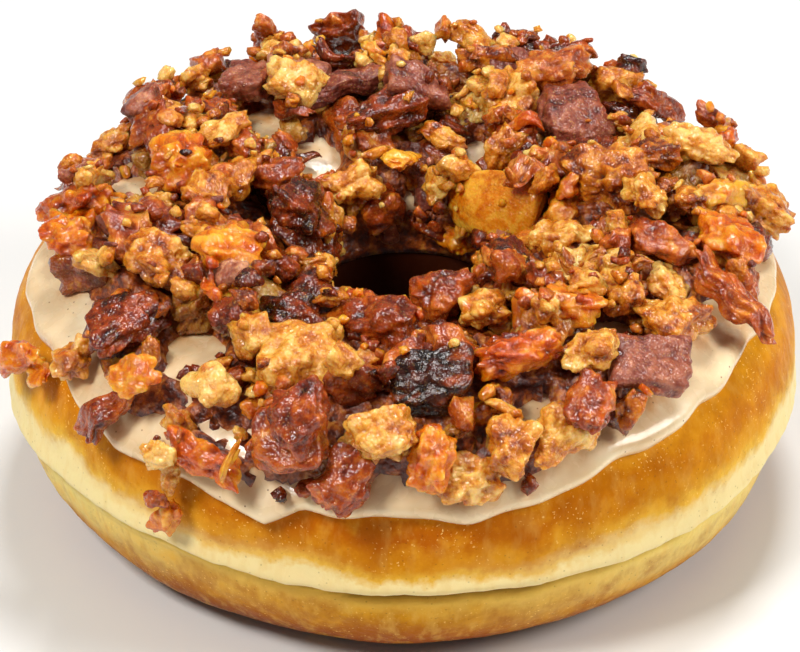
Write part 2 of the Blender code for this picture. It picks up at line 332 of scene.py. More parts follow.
class Look:
    """A material and short ways to add nodes to it."""

    def __init__(self, name, **surface):
        self.material = bpy.data.materials.new(name)
        self.material.use_nodes = True
        self.tree = self.material.node_tree
        self.surface = self.tree.nodes["Principled BSDF"]
        self.fill(self.surface, surface)
        self.count = 0

    def fill(self, node, inputs):
        """Links or sets inputs, given by number or by name with _ for each space."""
        for key, value in inputs.items():
            socket = node.inputs[key if isinstance(key, int) else key.replace("_", " ")]
            if isinstance(value, bpy.types.NodeSocket):
                self.tree.links.new(value, socket)
            elif value is not None:
                colour = np.shape(value) == (3,) and socket.type == "RGBA"
                socket.default_value = (*value, 1.0) if colour else value

    def add(self, kind, inputs, output=0, **settings):
        """Adds a node and gives one of its outputs."""
        node = self.tree.nodes.new("ShaderNode" + kind)
        node.location = (-200 - 180 * (self.count % 9), 300 - 220 * (self.count // 9))
        self.count += 1
        for key, value in settings.items():
            setattr(node, key, value)
        self.fill(node, inputs)
        return node.outputs[output]

    def attribute(self, name, output="Fac"):
        return self.add("Attribute", {}, output, attribute_name=name)

    def place(self):
        """Object coordinates in millimetres."""
        here = self.add("TexCoord", {}, "Object")
        return self.add("VectorMath", {0: here, "Scale": 1000}, operation="SCALE")

    def stretch(self, vector, scale):
        return self.add("VectorMath", {0: vector, 1: scale}, operation="MULTIPLY")

    def noise(self, vector, size, detail=2.0, roughness=0.5, distortion=0.0):
        shape = {"Scale": 1 / size, "Detail": detail, "Roughness": roughness}
        shape.update(Vector=vector, Distortion=distortion)
        return self.add("TexNoise", shape, "Fac")

    def vary(self, vector, size, low, high, detail=2.0, roughness=0.5):
        """Noise spread over low to high."""
        return self.fit(self.noise(vector, size, detail, roughness), 0.3, 0.7, low, high)

    def cells(self, vector, size):
        return self.add("TexVoronoi", {"Vector": vector, "Scale": 1 / size}, "Distance")

    def math(self, operation, a, b=None):
        return self.add("Math", {0: a, 1: b}, operation=operation)

    def times(self, a, b):
        return self.math("MULTIPLY", a, b)

    def fit(self, value, low, high, to_low=0.0, to_high=1.0):
        ends = {"From Min": low, "From Max": high, "To Min": to_low, "To Max": to_high}
        return self.add("MapRange", {"Value": value, **ends}, "Result")

    def ramp(self, value, stops):
        """stops are (position, sRGB colour 0-255)."""
        colour = self.add("ValToRGB", {"Fac": value}, "Color")
        points = colour.node.color_ramp.elements
        while len(points) < len(stops):
            points.new(0.5)
        for point, (position, tint) in zip(points, stops):
            point.position = position
            point.color = (*rgb(*tint), 1.0)
        return colour

    def mix(self, share, a, b):
        """Colour b over colour a by share; inputs 6 and 7 are a Mix node's two colours."""
        return self.add("Mix", {"Factor": share, 6: a, 7: b}, 2, data_type="RGBA")

    def coats(self, colour, *coats):
        """Coats over a colour, each a share and an sRGB colour."""
        for share, tint in coats:
            colour = self.mix(share, colour, rgb(*tint))
        return colour

    def bump(self, height, distance, strength):
        inputs = {"Height": height, "Distance": distance * MM, "Strength": strength}
        return self.add("Bump", inputs, "Normal")

    def finish(self, colour, roughness=None, normal=None):
        inputs = {"Base Color": colour, "Roughness": roughness}
        self.fill(self.surface, {**inputs, "Normal": normal, "Coat Normal": normal})
        return self.material


def rgb(r, g, b):
    """Linear light from an sRGB colour, 0-255."""
    values = np.array((r, g, b)) / 255
    return tuple(np.where(values < 0.04045, values / 12.92, ((values + 0.055) / 1.055) ** 2.4))


def surface(roughness, depth, weight=0.3, radius=(1.0, 0.45, 0.2), coat=0.0, coat_roughness=0.1):
    """Settings of a moist food's surface; depth is how far light spreads in it, in mm."""
    return {
        "Roughness": roughness,
        "Subsurface_Weight": weight,
        "Subsurface_Scale": depth * MM,
        "Subsurface_Radius": radius,
        "Coat_Weight": coat,
        "Coat_Roughness": coat_roughness,
    }


CRUST_RANGE = (-30, 34)
# The darker stop at -0.2, just under the crease, in both lists below is painted shade in the fold.
CRUST_FRONT = [  # colours of the crust by mm above the crease, where it is well browned
    (-26, (84, 32, 0)), (-13, (108, 42, 0)), (-9, (158, 78, 0)), (-6.5, (184, 106, 2)),
    (-3.5, (208, 144, 20)), (-1, (232, 184, 76)), (-0.2, (206, 158, 60)), (0.3, (236, 214, 156)),
    (3, (240, 218, 156)), (4, (226, 172, 50)), (5, (202, 128, 2)), (8.5, (180, 92, 0)),
    (13.5, (188, 106, 2)), (32, (140, 70, 6)),
]
CRUST_SIDE = [  # and where it is paler
    (-26, (84, 32, 0)), (-13, (128, 58, 0)), (-10, (176, 102, 6)), (-7.5, (208, 148, 44)),
    (-5, (226, 198, 116)), (-1.5, (230, 208, 124)), (-0.2, (206, 180, 90)), (0.3, (236, 218, 158)),
    (4.6, (240, 220, 158)), (6, (232, 184, 62)), (7.8, (214, 146, 8)), (11, (202, 122, 0)),
    (16, (214, 146, 14)), (32, (140, 70, 6)),
]


def crust_look():
    """Fried dough: golden brown above, a pale band over the crease, tan to brown below it."""
    settings = surface(0.5, 1, 0.10, (1, 0.5, 0.15))
    look = Look("fried_crust", Specular_IOR_Level=0.07, **settings)
    place = look.place()

    # the bands wander up and down, but not right at the crease
    above = look.attribute("above")
    wander = look.vary(place, 8, -0.9, 0.9, 3)
    ragged = look.vary(place, 1.3, -0.4, 0.4, 3, 0.6)
    off_crease = look.fit(look.math("ABSOLUTE", above), 0.2, 2)
    moved = look.math("ADD", above, look.times(look.math("ADD", wander, ragged), off_crease))
    low, high = CRUST_RANGE
    share = look.fit(moved, low, high)
    front, side = (
        look.ramp(share, [((at - low) / (high - low), tint) for at, tint in bands])
        for bands in (CRUST_FRONT, CRUST_SIDE)
    )
    bands = look.mix(look.attribute("side"), front, side)

    # browner and yellower mottling, which leaves the pale band alone
    mottle = look.noise(place, 4.5, 4, 0.6)
    off_band = look.math("ABSOLUTE", look.math("SUBTRACT", moved, 1.5))
    fried = look.fit(off_band, 2.4, 4.2, 0.06, 1)
    brown = look.times(look.fit(mottle, 0.45, 0.72, 0, 0.55), fried)
    yellow = look.times(look.fit(mottle, 0.47, 0.28, 0, 0.5), fried)

    # faint upright streaks, stronger below the crease
    streaks = look.noise(look.stretch(place, (1, 1, 0.35)), 1.6, 3, 0.6)
    faint = look.fit(streaks, 0.5, 0.75, 0, 0.3)
    below = look.fit(moved, -0.6, -2.5)
    pale = look.times(look.fit(streaks, 0.52, 0.76, 0, 0.35), below)
    dark = look.times(look.fit(streaks, 0.46, 0.26, 0, 0.35), below)

    # bright flecks in patches, dark pores, painted shade along the crease and painted shade on the
    # hole's wall
    pits = look.fit(look.cells(place, 0.9), 0, 0.16, 1, 0)
    strewn = look.fit(look.noise(place, 6), 0.42, 0.62, 0.05, 0.75)
    flecks = look.times(look.fit(look.noise(place, 0.36, 1), 0.66, 0.74), strewn)
    colour = look.coats(
        bands, (brown, (154, 72, 0)), (yellow, (232, 168, 36)), (faint, (222, 176, 84)),
        (pale, (236, 190, 92)), (dark, (158, 78, 0)), (look.times(flecks, fried), (252, 214, 120)),
        # painted shade along the crease, from the groove's depth
        (look.times(pits, 0.45), (96, 46, 8)), (look.attribute("groove"), (104, 68, 16)),
        # painted shade on the hole's wall
        (look.attribute("inside"), (52, 18, 4)),
    )
    rough = look.vary(place, 1.2, 0.36, 0.56)
    height = look.math("SUBTRACT", look.noise(place, 0.7, 3, 0.6), look.times(pits, 0.6))
    return look.finish(colour, rough, look.bump(height, 0.14, 0.6))


def icing_look():
    """Set maple icing: smooth, glossy, beige, faintly stained by the bacon's fat."""
    look = Look("maple_glaze", **surface(0.22, 2, 0.3, (1, 0.7, 0.45), 0.35, 0.08))
    place = look.place()
    beiges = [(0.3, (220, 190, 146)), (0.55, (234, 210, 170)), (0.75, (244, 226, 192))]
    colour = look.ramp(look.noise(place, 7, 3), beiges)
    uneven = look.fit(look.noise(place, 2.6, 3), 0.35, 0.7)
    stain = look.times(look.attribute("stain"), uneven)
    specks = look.times(look.fit(look.cells(place, 1.5), 0.10, 0.04), 0.8)
    colour = look.coats(colour, (stain, (196, 130, 52)), (specks, (110, 52, 18)))
    rough = look.vary(place, 2, 0.18, 0.34)
    return look.finish(colour, rough, look.bump(look.noise(place, 1.8, 3, 0.55), 0.12, 0.5))


def stops(positions, *colours):
    return list(zip(positions, colours))


EVEN = (0, 0.3, 0.6, 0.85, 1)
FAT = stops((0, 0.25, 0.5, 0.75, 1),
            (236, 190, 106), (218, 154, 56), (196, 116, 18), (162, 76, 4), (96, 30, 2))
AMBER = stops(EVEN, (232, 166, 50), (216, 124, 12), (190, 80, 2), (146, 48, 2), (96, 26, 4))
LEAN = stops(EVEN, (40, 10, 3), (98, 29, 5), (150, 58, 10), (188, 96, 22), (212, 138, 52))
MAUVE = stops(EVEN,
              (66, 20, 14), (118, 52, 38), (154, 86, 64), (184, 118, 88), (212, 152, 112))
BURNT = stops((0, 0.35, 0.65, 0.9, 1),
              (22, 7, 3), (66, 21, 9), (112, 48, 18), (164, 90, 38), (204, 128, 60))


def bacon_look(name, main, other, share, settings, grainy=1, shine=(0.16, 0.44)):
    """Fried bacon: one colour ramp over most of a bit, and another over share of it, in
    streaks along the bit. Hollows are painted browner as shade and peaks paler as highlight;
    bits buried in the heap are painted darker as shade, and pale specks are painted glints."""
    look = Look(name, Specular_IOR_Level=0.3, **settings)
    grain = look.attribute("grain", "Vector")
    wide = look.noise(grain, 3, 3, 0.6, 0.4)
    fine = look.noise(grain, 0.75, 3, 0.65)
    value = look.math("ADD", look.attribute("tone"), look.fit(wide, 0.3, 0.7, -0.3, 0.3))
    spread = 0.14 * grainy + 0.08
    value = look.math("ADD", value, look.fit(fine, 0.3, 0.7, -spread, spread))
    # painted shade in the hollows and painted highlight on the peaks: the relief darkens the
    # colour where it dips and pales it where it rises
    pale_first = main is FAT or main is AMBER
    ends = (0.28, -0.22) if pale_first else (-0.25, 0.2)
    value = look.math("ADD", value, look.fit(look.attribute("relief"), -1, 1, *ends))
    colour = look.ramp(value, main)

    streaks = look.noise(look.stretch(grain, (0.45, 1, 1)), 3.4, 2, 0.5, 0.6)
    mask = look.fit(streaks, 0.70 - share * 0.4, 0.80 - share * 0.4, 0, 0.8)
    colour = look.mix(mask, colour, look.ramp(look.fit(fine, 0.25, 0.75, 0.3, 0.85), other))
    # painted shade: bits buried in the heap are darkened, as the bits above them would shade them
    buried_shade = look.times(look.attribute("buried_shade"), 0.6)
    grit = look.cells(grain, 0.42)
    # painted glints: pale specks in the streaks stand in for tiny highlights
    in_streaks = look.fit(streaks, 0.35, 0.6, 0.05, 0.4 * grainy)
    painted_glints = look.times(look.fit(grit, 0.34, 0.1), in_streaks)
    colour = look.coats(colour, (buried_shade, (56, 18, 4)), (painted_glints, (246, 200, 112)))
    rough = look.vary(grain, 0.6, *shine)
    height = look.math("SUBTRACT", fine, look.times(grit, 0.8 * grainy))
    return look.finish(colour, rough, look.bump(height, 0.24, 0.7))


def core_look():
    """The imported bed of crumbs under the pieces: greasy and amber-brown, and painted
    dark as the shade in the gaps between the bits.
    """
    look = Look("bacon_bed", **surface(0.36, 1.2, 0.25, (1, 0.35, 0.1), 0.15, 0.08))
    place = look.place()
    # amber-brown crumbs whose darkest browns are painted shade for the gaps between the bits
    colour = look.ramp(
        look.noise(place, 1.6, 4, 0.65),
        [(0.30, (48, 14, 4)), (0.45, (100, 36, 8)), (0.56, (156, 74, 16)), (0.70, (204, 134, 50))],
    )
    bumps = look.math("SUBTRACT", look.noise(place, 0.6, 3, 0.6), look.cells(place, 1))
    return look.finish(colour, None, look.bump(bumps, 0.3, 0.8))


GOLDEN = surface(0.26, 2, 0.5, (1, 0.5, 0.15), 0.65, 0.04)
MEATY = surface(0.26, 1.5, 0.35, (1, 0.25, 0.08), 0.6, 0.04)
DRY = surface(0.3, 1.2, 0.3, (1, 0.3, 0.1), 0.4, 0.08)
CLEAR = surface(0.18, 3, 0.6, (1, 0.4, 0.06), 0.6, 0.05)
LOOKS = {  # kind: material, slot
    kind: (bacon_look(*settings), slot)
    for kind, slot, *settings in (
        ("fat", "golden_fat", "golden_fat_bits", FAT, AMBER, 0.22, GOLDEN),
        ("lean", "lean_bacon", "dark_lean_bits", LEAN, AMBER, 0.22, MEATY, 0.6, (0.12, 0.36)),
        ("mauve", "mauve_lean", "mauve_lean_bits", MAUVE, LEAN, 0.3, DRY, 0.8, (0.26, 0.5)),
        ("burnt", "burnt_bacon", "burnt_bits", BURNT, LEAN, 0.35, DRY, 0.35, (0.16, 0.42)),
        ("amber", "amber_fat", "amber_bits", AMBER, FAT, 0.25, CLEAR, 0.5, (0.08, 0.30)),
    )
}


# ---- dough and icing


def uneven_steps(low, high, count, density):
    """Numbers from low to high, closer together where density(x) is larger."""
    fine = np.linspace(low, high, 2000)
    share = np.append(0, np.cumsum(density(fine)[1:]))
    return np.interp(np.linspace(0, share[-1], count), share, fine)


PALE_ANGLES = (-180, -145, -130, -118, -103, -90, -80, -66, -50, -30, 60, 120)
PALENESS = (0.9, 1.0, 0.65, 0.3, 0.08, 0.0, 0.1, 0.4, 0.85, 1.0, 0.75, 0.7)
WALL_BAND = (58, 62)  # arcs down the hole's wall over which its colours turn to the foot's


def make_dough():
    """The dough, browned at the front and paler at the sides and back."""
    steps, loop = 400, 112
    raised = np.flatnonzero(HEIGHT > 0)
    low, high = ARC[raised[0] - 1], ARC[raised[-1] + 1]
    finer = lambda s: 1 + 2.4 * (np.abs(s + 2.5) < 5) + 0.8 * (np.abs(s) < 16)
    angle, arc = ring_grid(steps, uneven_steps(low, high, loop, finer))
    height, outward = along(HEIGHT, arc), along(NORMAL_R, arc) > 0
    fold = crease(angle, arc)
    points, normals = on_skin(angle, arc, fold)
    relief = 0.28 * noise(points, 13.0, 3) + 0.09 * noise(points, 3.2, 9, 3)
    relief += 0.05 * noise(points * (1, 1, 0.35), 1.3, 14, 2)
    tucks = ease(5, 0, np.abs(height - CREASE_HEIGHT)) * outward
    around = np.stack([angle * 48, arc * 0.25, arc * 0], axis=1)
    relief += 0.14 * tucks * noise(around, 1.6, 21, 2)
    points = points + normals * (relief * ease(0.0, 3.0, height))[:, None]
    points[:, 2] = np.maximum(points[:, 2], 0)

    # mm above the crease; on the hole's lower wall it turns back to what the foot has
    outer = (ARC > -12) & (ARC < 3)
    above = arc - np.interp(crease_level(angle), HEIGHT[outer], ARC[outer])
    foot = np.repeat(above[::loop], loop)
    under = np.clip((arc - WALL_BAND[1]) / (high - WALL_BAND[1]), 0, 1)
    wall = np.interp(arc, WALL_BAND, (CRUST_RANGE[1], -6)) + under * (foot + 6)
    numbers = {
        "above": np.where(arc > WALL_BAND[0], wall, above),
        "side": round_ring(angle, PALE_ANGLES, PALENESS),
        # painted shade along the crease, darkest where the fold cuts in most
        "groove": ease(0.3, 0.9, -fold) * outward,
        # painted shade on the hole's wall, which the lights hardly reach
        "inside": ease(45, 50, arc) * ease(74, 66, arc),
    }
    quads = ring_quads(steps, loop)
    obj = build("fried_dough_ring", points, quads, crust_look(), "fried_dough", numbers)
    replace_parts(obj, "dough_ring")


EDGE_ANGLES = (-170, -157, -150, -142, -134, -127, -120, -115, -109, -104, -97, -91, -81, -71, -64,
               -54, -42, -30, -21, -12, 10, 30, 50, 62, 72, 90, 110, 128, 142, 160, 179)
EDGE_ARCS = (12.5, 12, 12, 10.5, 8.5, 8.5, 8, 7.9, 6.5, 8.5, 8.2, 8, 8, 9, 10,
             11, 12.5, 13, 13.5, 13.5, 14.5, 13, 12, 9.8, 12, 12.3, 12, 10.2, 12.6,
             14.5, 15.0)


def icing_edge(angle):
    """The arc at which the icing ends on the outside, at ring angles in radians."""
    arc = round_ring(angle, EDGE_ANGLES, EDGE_ARCS)
    for amount, count, phase in ((0.35, 11, 0.5), (0.25, 23, 0), (0.12, 41, 0)):
        arc = arc + amount * np.sin(count * angle + phase)
    return arc


def icing_height(angle, arc, share):
    """The icing's thickness: a rounded lip at its edges, and soft waves between."""
    from_edge = share * 38
    shoulder = np.sqrt(1 - (1 - np.clip(from_edge / 1.1, 0, 1)) ** 2.2)
    inner = np.sqrt(np.clip((1 - share) / 0.05, 0, 1))
    lip = 0.45 * np.exp(-(((from_edge - 1.5) / 1.6) ** 2))
    points, _ = on_skin(angle, arc, 0 * arc)
    waves = 0.22 * noise(points, 7.0, 31) + 0.08 * noise(points, 2.6, 35)
    return (1.55 + lip + waves) * shoulder * inner


def make_icing(stain_at):
    """The sheet of icing, on under the heap and a short way down the hole."""
    finer = lambda s: 1 + 14 * (s < 0.04) + 3 * (s < 0.2) + 3 * (s > 0.93)
    angle, share, is_top, quads = sheet_grid(400, uneven_steps(0, 1, 58, finer), 8)
    outer = icing_edge(angle)
    inner = ICING_END + 0.9 * np.sin(3 * angle) + 0.6 * np.sin(8 * angle + 1)
    arc = outer + share * (inner - outer)
    points, _ = on_skin(angle, arc, np.where(is_top, icing_height(angle, arc, share), 0) - 0.15)
    stains = {"stain": stain_at(angle, arc)}
    obj = build("poured_icing", points, quads, icing_look(), "maple_icing", stains)
    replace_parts(obj, "icing")


# ---- the bits' own shapes


def clump(dirs, gen, lobes):
    """Reach from the middle to the outside of a clump of overlapping balls."""
    centres = gen.normal(size=(lobes, 3))
    centres *= gen.uniform(0.30, 0.72, (lobes, 1)) / np.linalg.norm(centres, axis=1, keepdims=True)
    radii = gen.uniform(0.22, 0.42, lobes)
    ahead = dirs @ centres.T
    inside = radii**2 - (centres**2).sum(1) + ahead**2
    reach = np.where(inside > 0, ahead + np.sqrt(np.maximum(inside, 0)), 0)
    reach = np.maximum(reach, gen.uniform(0.45, 0.58))
    return (reach**14).mean(1) ** (1 / 14) * 1.1


def torn_block(dirs, gen, sides, sharpness):
    """Reach from the middle to the outside of a block with extra faces torn across it."""
    extra = unit(gen.normal(size=(sides, 3)))
    faces = np.concatenate([np.eye(3), -np.eye(3), extra])
    out = np.concatenate([gen.uniform(0.78, 1.0, 6), gen.uniform(0.62, 1.0, sides)])
    against = np.maximum(dirs @ faces.T, 0) / out
    return (against**sharpness).sum(1) ** (-1 / sharpness)


def ragged(dirs, gen, amount):
    """Factors that make a reach uneven, with torn corners and hollows."""
    seat = gen.uniform(-300, 300, 3)
    wide = smooth_noise(dirs * 1.7 + seat)
    fine = smooth_noise(dirs * 4.1 + seat)
    return 1 + amount * (0.9 * wide + 0.55 * fine)


Spot = namedtuple("Spot", "seen size")


class Bit:
    """One piece of bacon: its shape about its own middle, in mm, and where it lies."""

    def __init__(self, kind, half, gen, n, tone, bend=0.0, ruffle=0.0, blocky=None, rough=1.0):
        """half: half sizes; n: faces along each side of the ball it starts as; rough: how torn."""
        self.kind, self.n, self.tone, self.buried_shade = kind, n, tone, 0.0
        if n not in BALLS:
            BALLS[n] = ball(n)
        dirs = BALLS[n][0]
        self.half = half = np.array(half, float)
        if blocky is None:
            blocky = kind in ("lean", "mauve", "burnt") or gen.uniform() < 0.5
        if kind in ("mauve", "burnt"):
            reach = torn_block(dirs, gen, 5, 18) * ragged(dirs, gen, 0.11 * rough)
        elif blocky:
            reach = torn_block(dirs, gen, 8, 12) * ragged(dirs, gen, 0.26 * rough)
        else:
            lobes = int(gen.integers(10, 18))
            reach = clump(dirs, gen, lobes) * ragged(dirs, gen, 0.2 * rough)
        self.points = dirs * reach[:, None] * half
        self.grain = self.points + gen.uniform(-400, 400, 3)
        self.out = unit(dirs / half)
        self.amount = rough * min(1.0, half.min() / 2.2)
        self.deform(gen, bend, ruffle)

    def deform(self, gen, bend, ruffle):
        """Ruffles the bit along its length, then curls it; bend is in radians."""
        p, length = self.points, 2 * self.half[0]
        if ruffle:
            phase = gen.uniform(0, 6.28, 3)
            wave = p[:, 0] * 6.28 / 5.5 + phase[0] + 0.5 * np.sin(p[:, 1] + phase[1])
            p[:, 2] += ruffle * np.sin(wave)
            p[:, 1] += 0.6 * ruffle * np.sin(p[:, 0] * 6.28 / 7.5 + phase[2])
        if bend:
            turn = p[:, 0] * (bend / length)
            radius = length / bend + p[:, 2]
            p[:, 0] = radius * np.sin(turn)
            p[:, 2] = radius * np.cos(turn) - length / bend
            p[:, 2] += self.half[0] * abs(bend) * 0.12

    @property
    def size(self):
        return math.sqrt(self.half[0] * self.half[1])

    @property
    def seen(self):
        return (self.points.max(0) + self.points.min(0)) / 2

    def put(self, centre, axes):
        self.points = self.points @ axes.T + centre
        self.out = self.out @ axes.T


def relief_of(bits, kind):
    """Fine relief on all bits of a kind at once: bubbles on fat, fibres on lean."""
    grain = np.concatenate([b.grain for b in bits])
    amount = np.concatenate([np.full(len(b.points), b.amount) for b in bits])
    if kind in ("fat", "amber"):
        bubbles = 0.55 - cell_distance(grain, 1.7, 5)
        value = 0.52 * bubbles + 0.5 * noise(grain, 1.5, 11, 3)
    elif kind == "lean":
        wrinkles = 0.5 - np.abs(noise(grain * (0.5, 1, 1), 1.9, 17, 2)) * 2
        value = 0.2 * wrinkles + 0.26 * noise(grain, 1.5, 23, 3)
    else:
        bubbles = 0.5 - cell_distance(grain, 1.5, 29)
        value = 0.30 * bubbles + 0.36 * noise(grain, 1.6, 31, 3)
    return value * amount


def join_bits(name, bits, kind):
    """One object from bits of a kind, each a closed ball of its own within it."""
    relief = relief_of(bits, kind)
    points = np.concatenate([b.points for b in bits])
    out = np.concatenate([b.out for b in bits])
    counts = [len(b.points) for b in bits]
    starts = np.cumsum([0] + counts)
    quads = np.concatenate([BALLS[b.n][1] + start for b, start in zip(bits, starts)])
    points = points + out * relief[:, None]
    return build(name, points, quads, *LOOKS[kind], {
        "tone": np.repeat([b.tone for b in bits], counts),
        "buried_shade": np.repeat([b.buried_shade for b in bits], counts),
        "relief": relief / 0.35,
        "grain": np.concatenate([b.grain for b in bits]),
    })


# ---- the heap


BARE_PATCHES = [  # ring angle, arc and reach of icing that shows between the bits
    (125, 28, 3.4), (122, 37, 3), (49, 23, 3), (-131, 22.5, 3), (-152, 19, 2.5), (-26, 17, 3),
    (20, 30, 1.8), (-45, 25, 2), (165, 24, 2.5), (66, 36, 1.8),
]


STEPS, PITCH, FAR_ARC = 900, 0.4, 56.0


class Heap:
    """How high the bacon lies over the dough's skin, on a grid of ring angle and arc."""

    def __init__(self):
        arcs = np.arange(0, FAR_ARC, PITCH)
        angle, arc = np.meshgrid(np.arange(STEPS) * math.tau / STEPS, arcs, indexing="ij")
        self.rows = arc.shape[1]
        iced = (arc > icing_edge(angle)) & (arc < 47)
        self.lift = np.where(iced, ICING_TOP, 0.0)
        self.cover = np.zeros_like(self.lift)  # 1 under bacon
        self.ceiling = np.full_like(self.lift, 99.0)  # how high bits may reach
        self.kept = np.zeros_like(self.lift, bool)  # no bit goes over these places
        self.bare = np.zeros_like(self.lift, bool)  # icing shows here
        self.shown = []  # pieces and patches that loose bits may not hide
        for degrees, arc, reach in BARE_PATCHES:
            i, j = self.cells(math.radians(degrees) % math.tau, arc, reach)
            self.bare[i, j] = True

    def cells(self, angle, arc, reach):
        """Grid cells within reach of a place."""
        radius = max(float(along(RADIUS, arc)), 4.0)
        wide = int(reach / (radius * math.tau / STEPS)) + 1
        tall = int(reach / PITCH) + 1
        i0, j0 = int(round(angle / math.tau * STEPS)), int(round(arc / PITCH))
        i = np.arange(i0 - wide, i0 + wide + 1)
        j = np.arange(max(j0 - tall, 0), min(j0 + tall + 1, self.rows))
        aside = (i - i0) * (math.tau / STEPS) * radius
        ii, jj = np.nonzero(np.hypot(aside[:, None], (j - j0)[None, :] * PITCH) / reach <= 1)
        return i[ii] % STEPS, j[jj]

    def index(self, angle, arc):
        i = np.round(angle / math.tau * STEPS).astype(int) % STEPS
        return i, np.clip((arc / PITCH).astype(int), 0, self.rows - 1)

    def free(self, angle, arc, half):
        """Whether a bit laid there would keep off most kept and bare places."""
        i, j = self.cells(angle, arc, 0.8 * math.sqrt(half[0] * half[1]))
        return len(i) > 0 and self.kept[i, j].mean() < 0.2 and self.bare[i, j].mean() < 0.25

    def rest(self, bit, angle, arc, turn, nest):
        """Lowers a bit onto the heap until nest of its underside would be in what lies below."""
        axes = ring_axes(angle, arc) @ turn
        seat, off = on_skin(angle, arc, 0.0)
        start = 14.0  # a lift above everything
        high = bit.points @ axes.T + seat + off * start
        around, along_skin, lift = ring_coordinates(high)
        i, j = self.index(around, along_skin)
        gap = lift - self.lift[i, j]
        under = (bit.out @ axes.T) @ off < -0.1
        drop = np.percentile(gap[under], nest)
        bit.put(seat + off * (start - drop), axes)
        bit.middle = (angle, arc, start - drop)

    def cover_with(self, bit, keep=False):
        """Raises the map to a bit that has been laid."""
        around, along_skin, lift = ring_coordinates(bit.points)
        i, j = self.index(around, along_skin)
        for di, dj in ((0, 0), (1, 0), (0, 1), (-1, 0), (0, -1)):
            ii, jj = (i + di) % STEPS, np.clip(j + dj, 0, self.rows - 1)
            np.maximum.at(self.lift, (ii, jj), lift - 0.1 * (di != 0 or dj != 0))
            self.cover[ii, jj] = 1
        if keep:
            i, j = self.cells(*bit.middle[:2], 0.8 * bit.size)
            self.kept[i, j] = True

    def height_at(self, angle, arc):
        return self.lift[self.index(angle, arc)]


def ring_axes(angle, arc):
    """Columns: round the ring, up the skin towards the hole, and off the skin."""
    tilt, rise = float(along(NORMAL_R, arc)), float(along(NORMAL_Z, arc))
    off = np.array([tilt * math.cos(angle), tilt * math.sin(angle), rise])
    around = np.array([-math.sin(angle), math.cos(angle), 0.0])
    return np.stack([around, np.cross(off, around), off], axis=1)


def turned(yaw, pitch=0.0, roll=0.0):
    """A rotation by roll about X, then pitch about Y, then yaw about Z, in degrees."""
    a, b, c = np.radians([yaw, pitch, roll])
    rz = np.array([[np.cos(a), -np.sin(a), 0], [np.sin(a), np.cos(a), 0], [0, 0, 1]])
    ry = np.array([[np.cos(b), 0, np.sin(b)], [0, 1, 0], [-np.sin(b), 0, np.cos(b)]])
    rx = np.array([[1, 0, 0], [0, np.cos(c), -np.sin(c)], [0, np.sin(c), np.cos(c)]])
    return rz @ ry @ rx


HOLE_MIDDLE = -2.2  # the y of the middle of what stays clear over the hole
HOLE_HALF = (8.2, 12.4)
PAST_SIDES, PAST_TOP = 2.2, 0.8  # how far bits may pass the CAD model's box
FARTHEST = 50.0  # and how far they may lie from the ring's axis


def inside_limits(bit, spread=FARTHEST):
    """Whether a bit keeps near the CAD model's box, off the hole and out of the view into it."""
    x, y, z = bit.points.T
    over_hole = (x / HOLE_HALF[0]) ** 2 + ((y - HOLE_MIDDLE) / HOLE_HALF[1]) ** 2 < 1
    before_hole = (np.abs(x) < 8.0) & (y < 0) & (z > 25.0 - 0.633 * y)
    if over_hole.any() or before_hole.any():
        return False
    low, high = in_mm(CAD_BOX)
    flat = bit.points[:, :2]
    boxed = (flat > low[:2] - PAST_SIDES).all() and (flat < high[:2] + PAST_SIDES).all()
    return boxed and z.max() < high[2] + PAST_TOP and np.hypot(x, y).max() < spread


FROM_FRONT = np.array([0, -math.cos(math.radians(32)), math.sin(math.radians(32))])


def hides(bit, shown):
    """Whether a bit would hide one of the shown pieces from the front and above."""
    for piece in shown:
        away = bit.seen - piece.seen
        ahead = away @ FROM_FRONT
        aside = np.linalg.norm(away - ahead * FROM_FRONT)
        if ahead > 0 and aside < 0.72 * (piece.size + bit.size):
            return True
    return False


NODE_LOOKS = {  # node: kind, tone, and how it is shaped
    "lean_slab_left": ("lean", 0.35),
    "red_strip_left": ("lean", 0.6, {"ruffle": 0.5}),
    "pale_nugget": ("fat", 0.0, {"blocky": False, "rough": 0.4}),
    "orange_curl_front": ("amber", 0.5, {"ruffle": 0.4}),
    "golden_nub": ("fat", 0.35, {"blocky": True, "rough": 0.6}),
    "brown_lump_front": ("lean", 0.72, {"rough": 0.7}),
    "pale_crumble_front": ("fat", 0.28, {"blocky": False}),
    "burnt_block": ("burnt", 0.2),
    "tan_crumble_front": ("fat", 0.34, {"blocky": False}),
    "orange_strip_front": ("amber", 0.55),
    "mauve_block_right": ("mauve", 0.5),
    "brown_strip_right": ("lean", 0.7, {"ruffle": 0.5}),
    "orange_crumble_right": ("fat", 0.68),
    "fat_slab_hole": ("amber", 0.18, {"blocky": True, "rough": 0.15}),
    "mauve_block_back": ("mauve", 0.4),
    "lean_tip_back": ("lean", 0.55),
    "brown_slab_back": ("lean", 0.4),
    "tan_crumble_hole": ("fat", 0.35),
    "golden_lobe_back": ("fat", 0.45),
    "arch_strip_left": ("fat", 0.55, {"ruffle": 0.5}),
}


def node_axes(points):
    """The middle, the axes (longest first) and the half sizes of a node, from its points."""
    middle = points.mean(0)
    _, _, axes = np.linalg.svd(points - middle, full_matrices=False)
    spread = (points - middle) @ axes.T
    middle = middle + (spread.max(0) + spread.min(0)) / 2 @ axes
    half = (spread.max(0) - spread.min(0)) / 2
    axes = axes.T
    if np.linalg.det(axes) < 0:
        axes[:, 2] *= -1
    return middle, axes, half


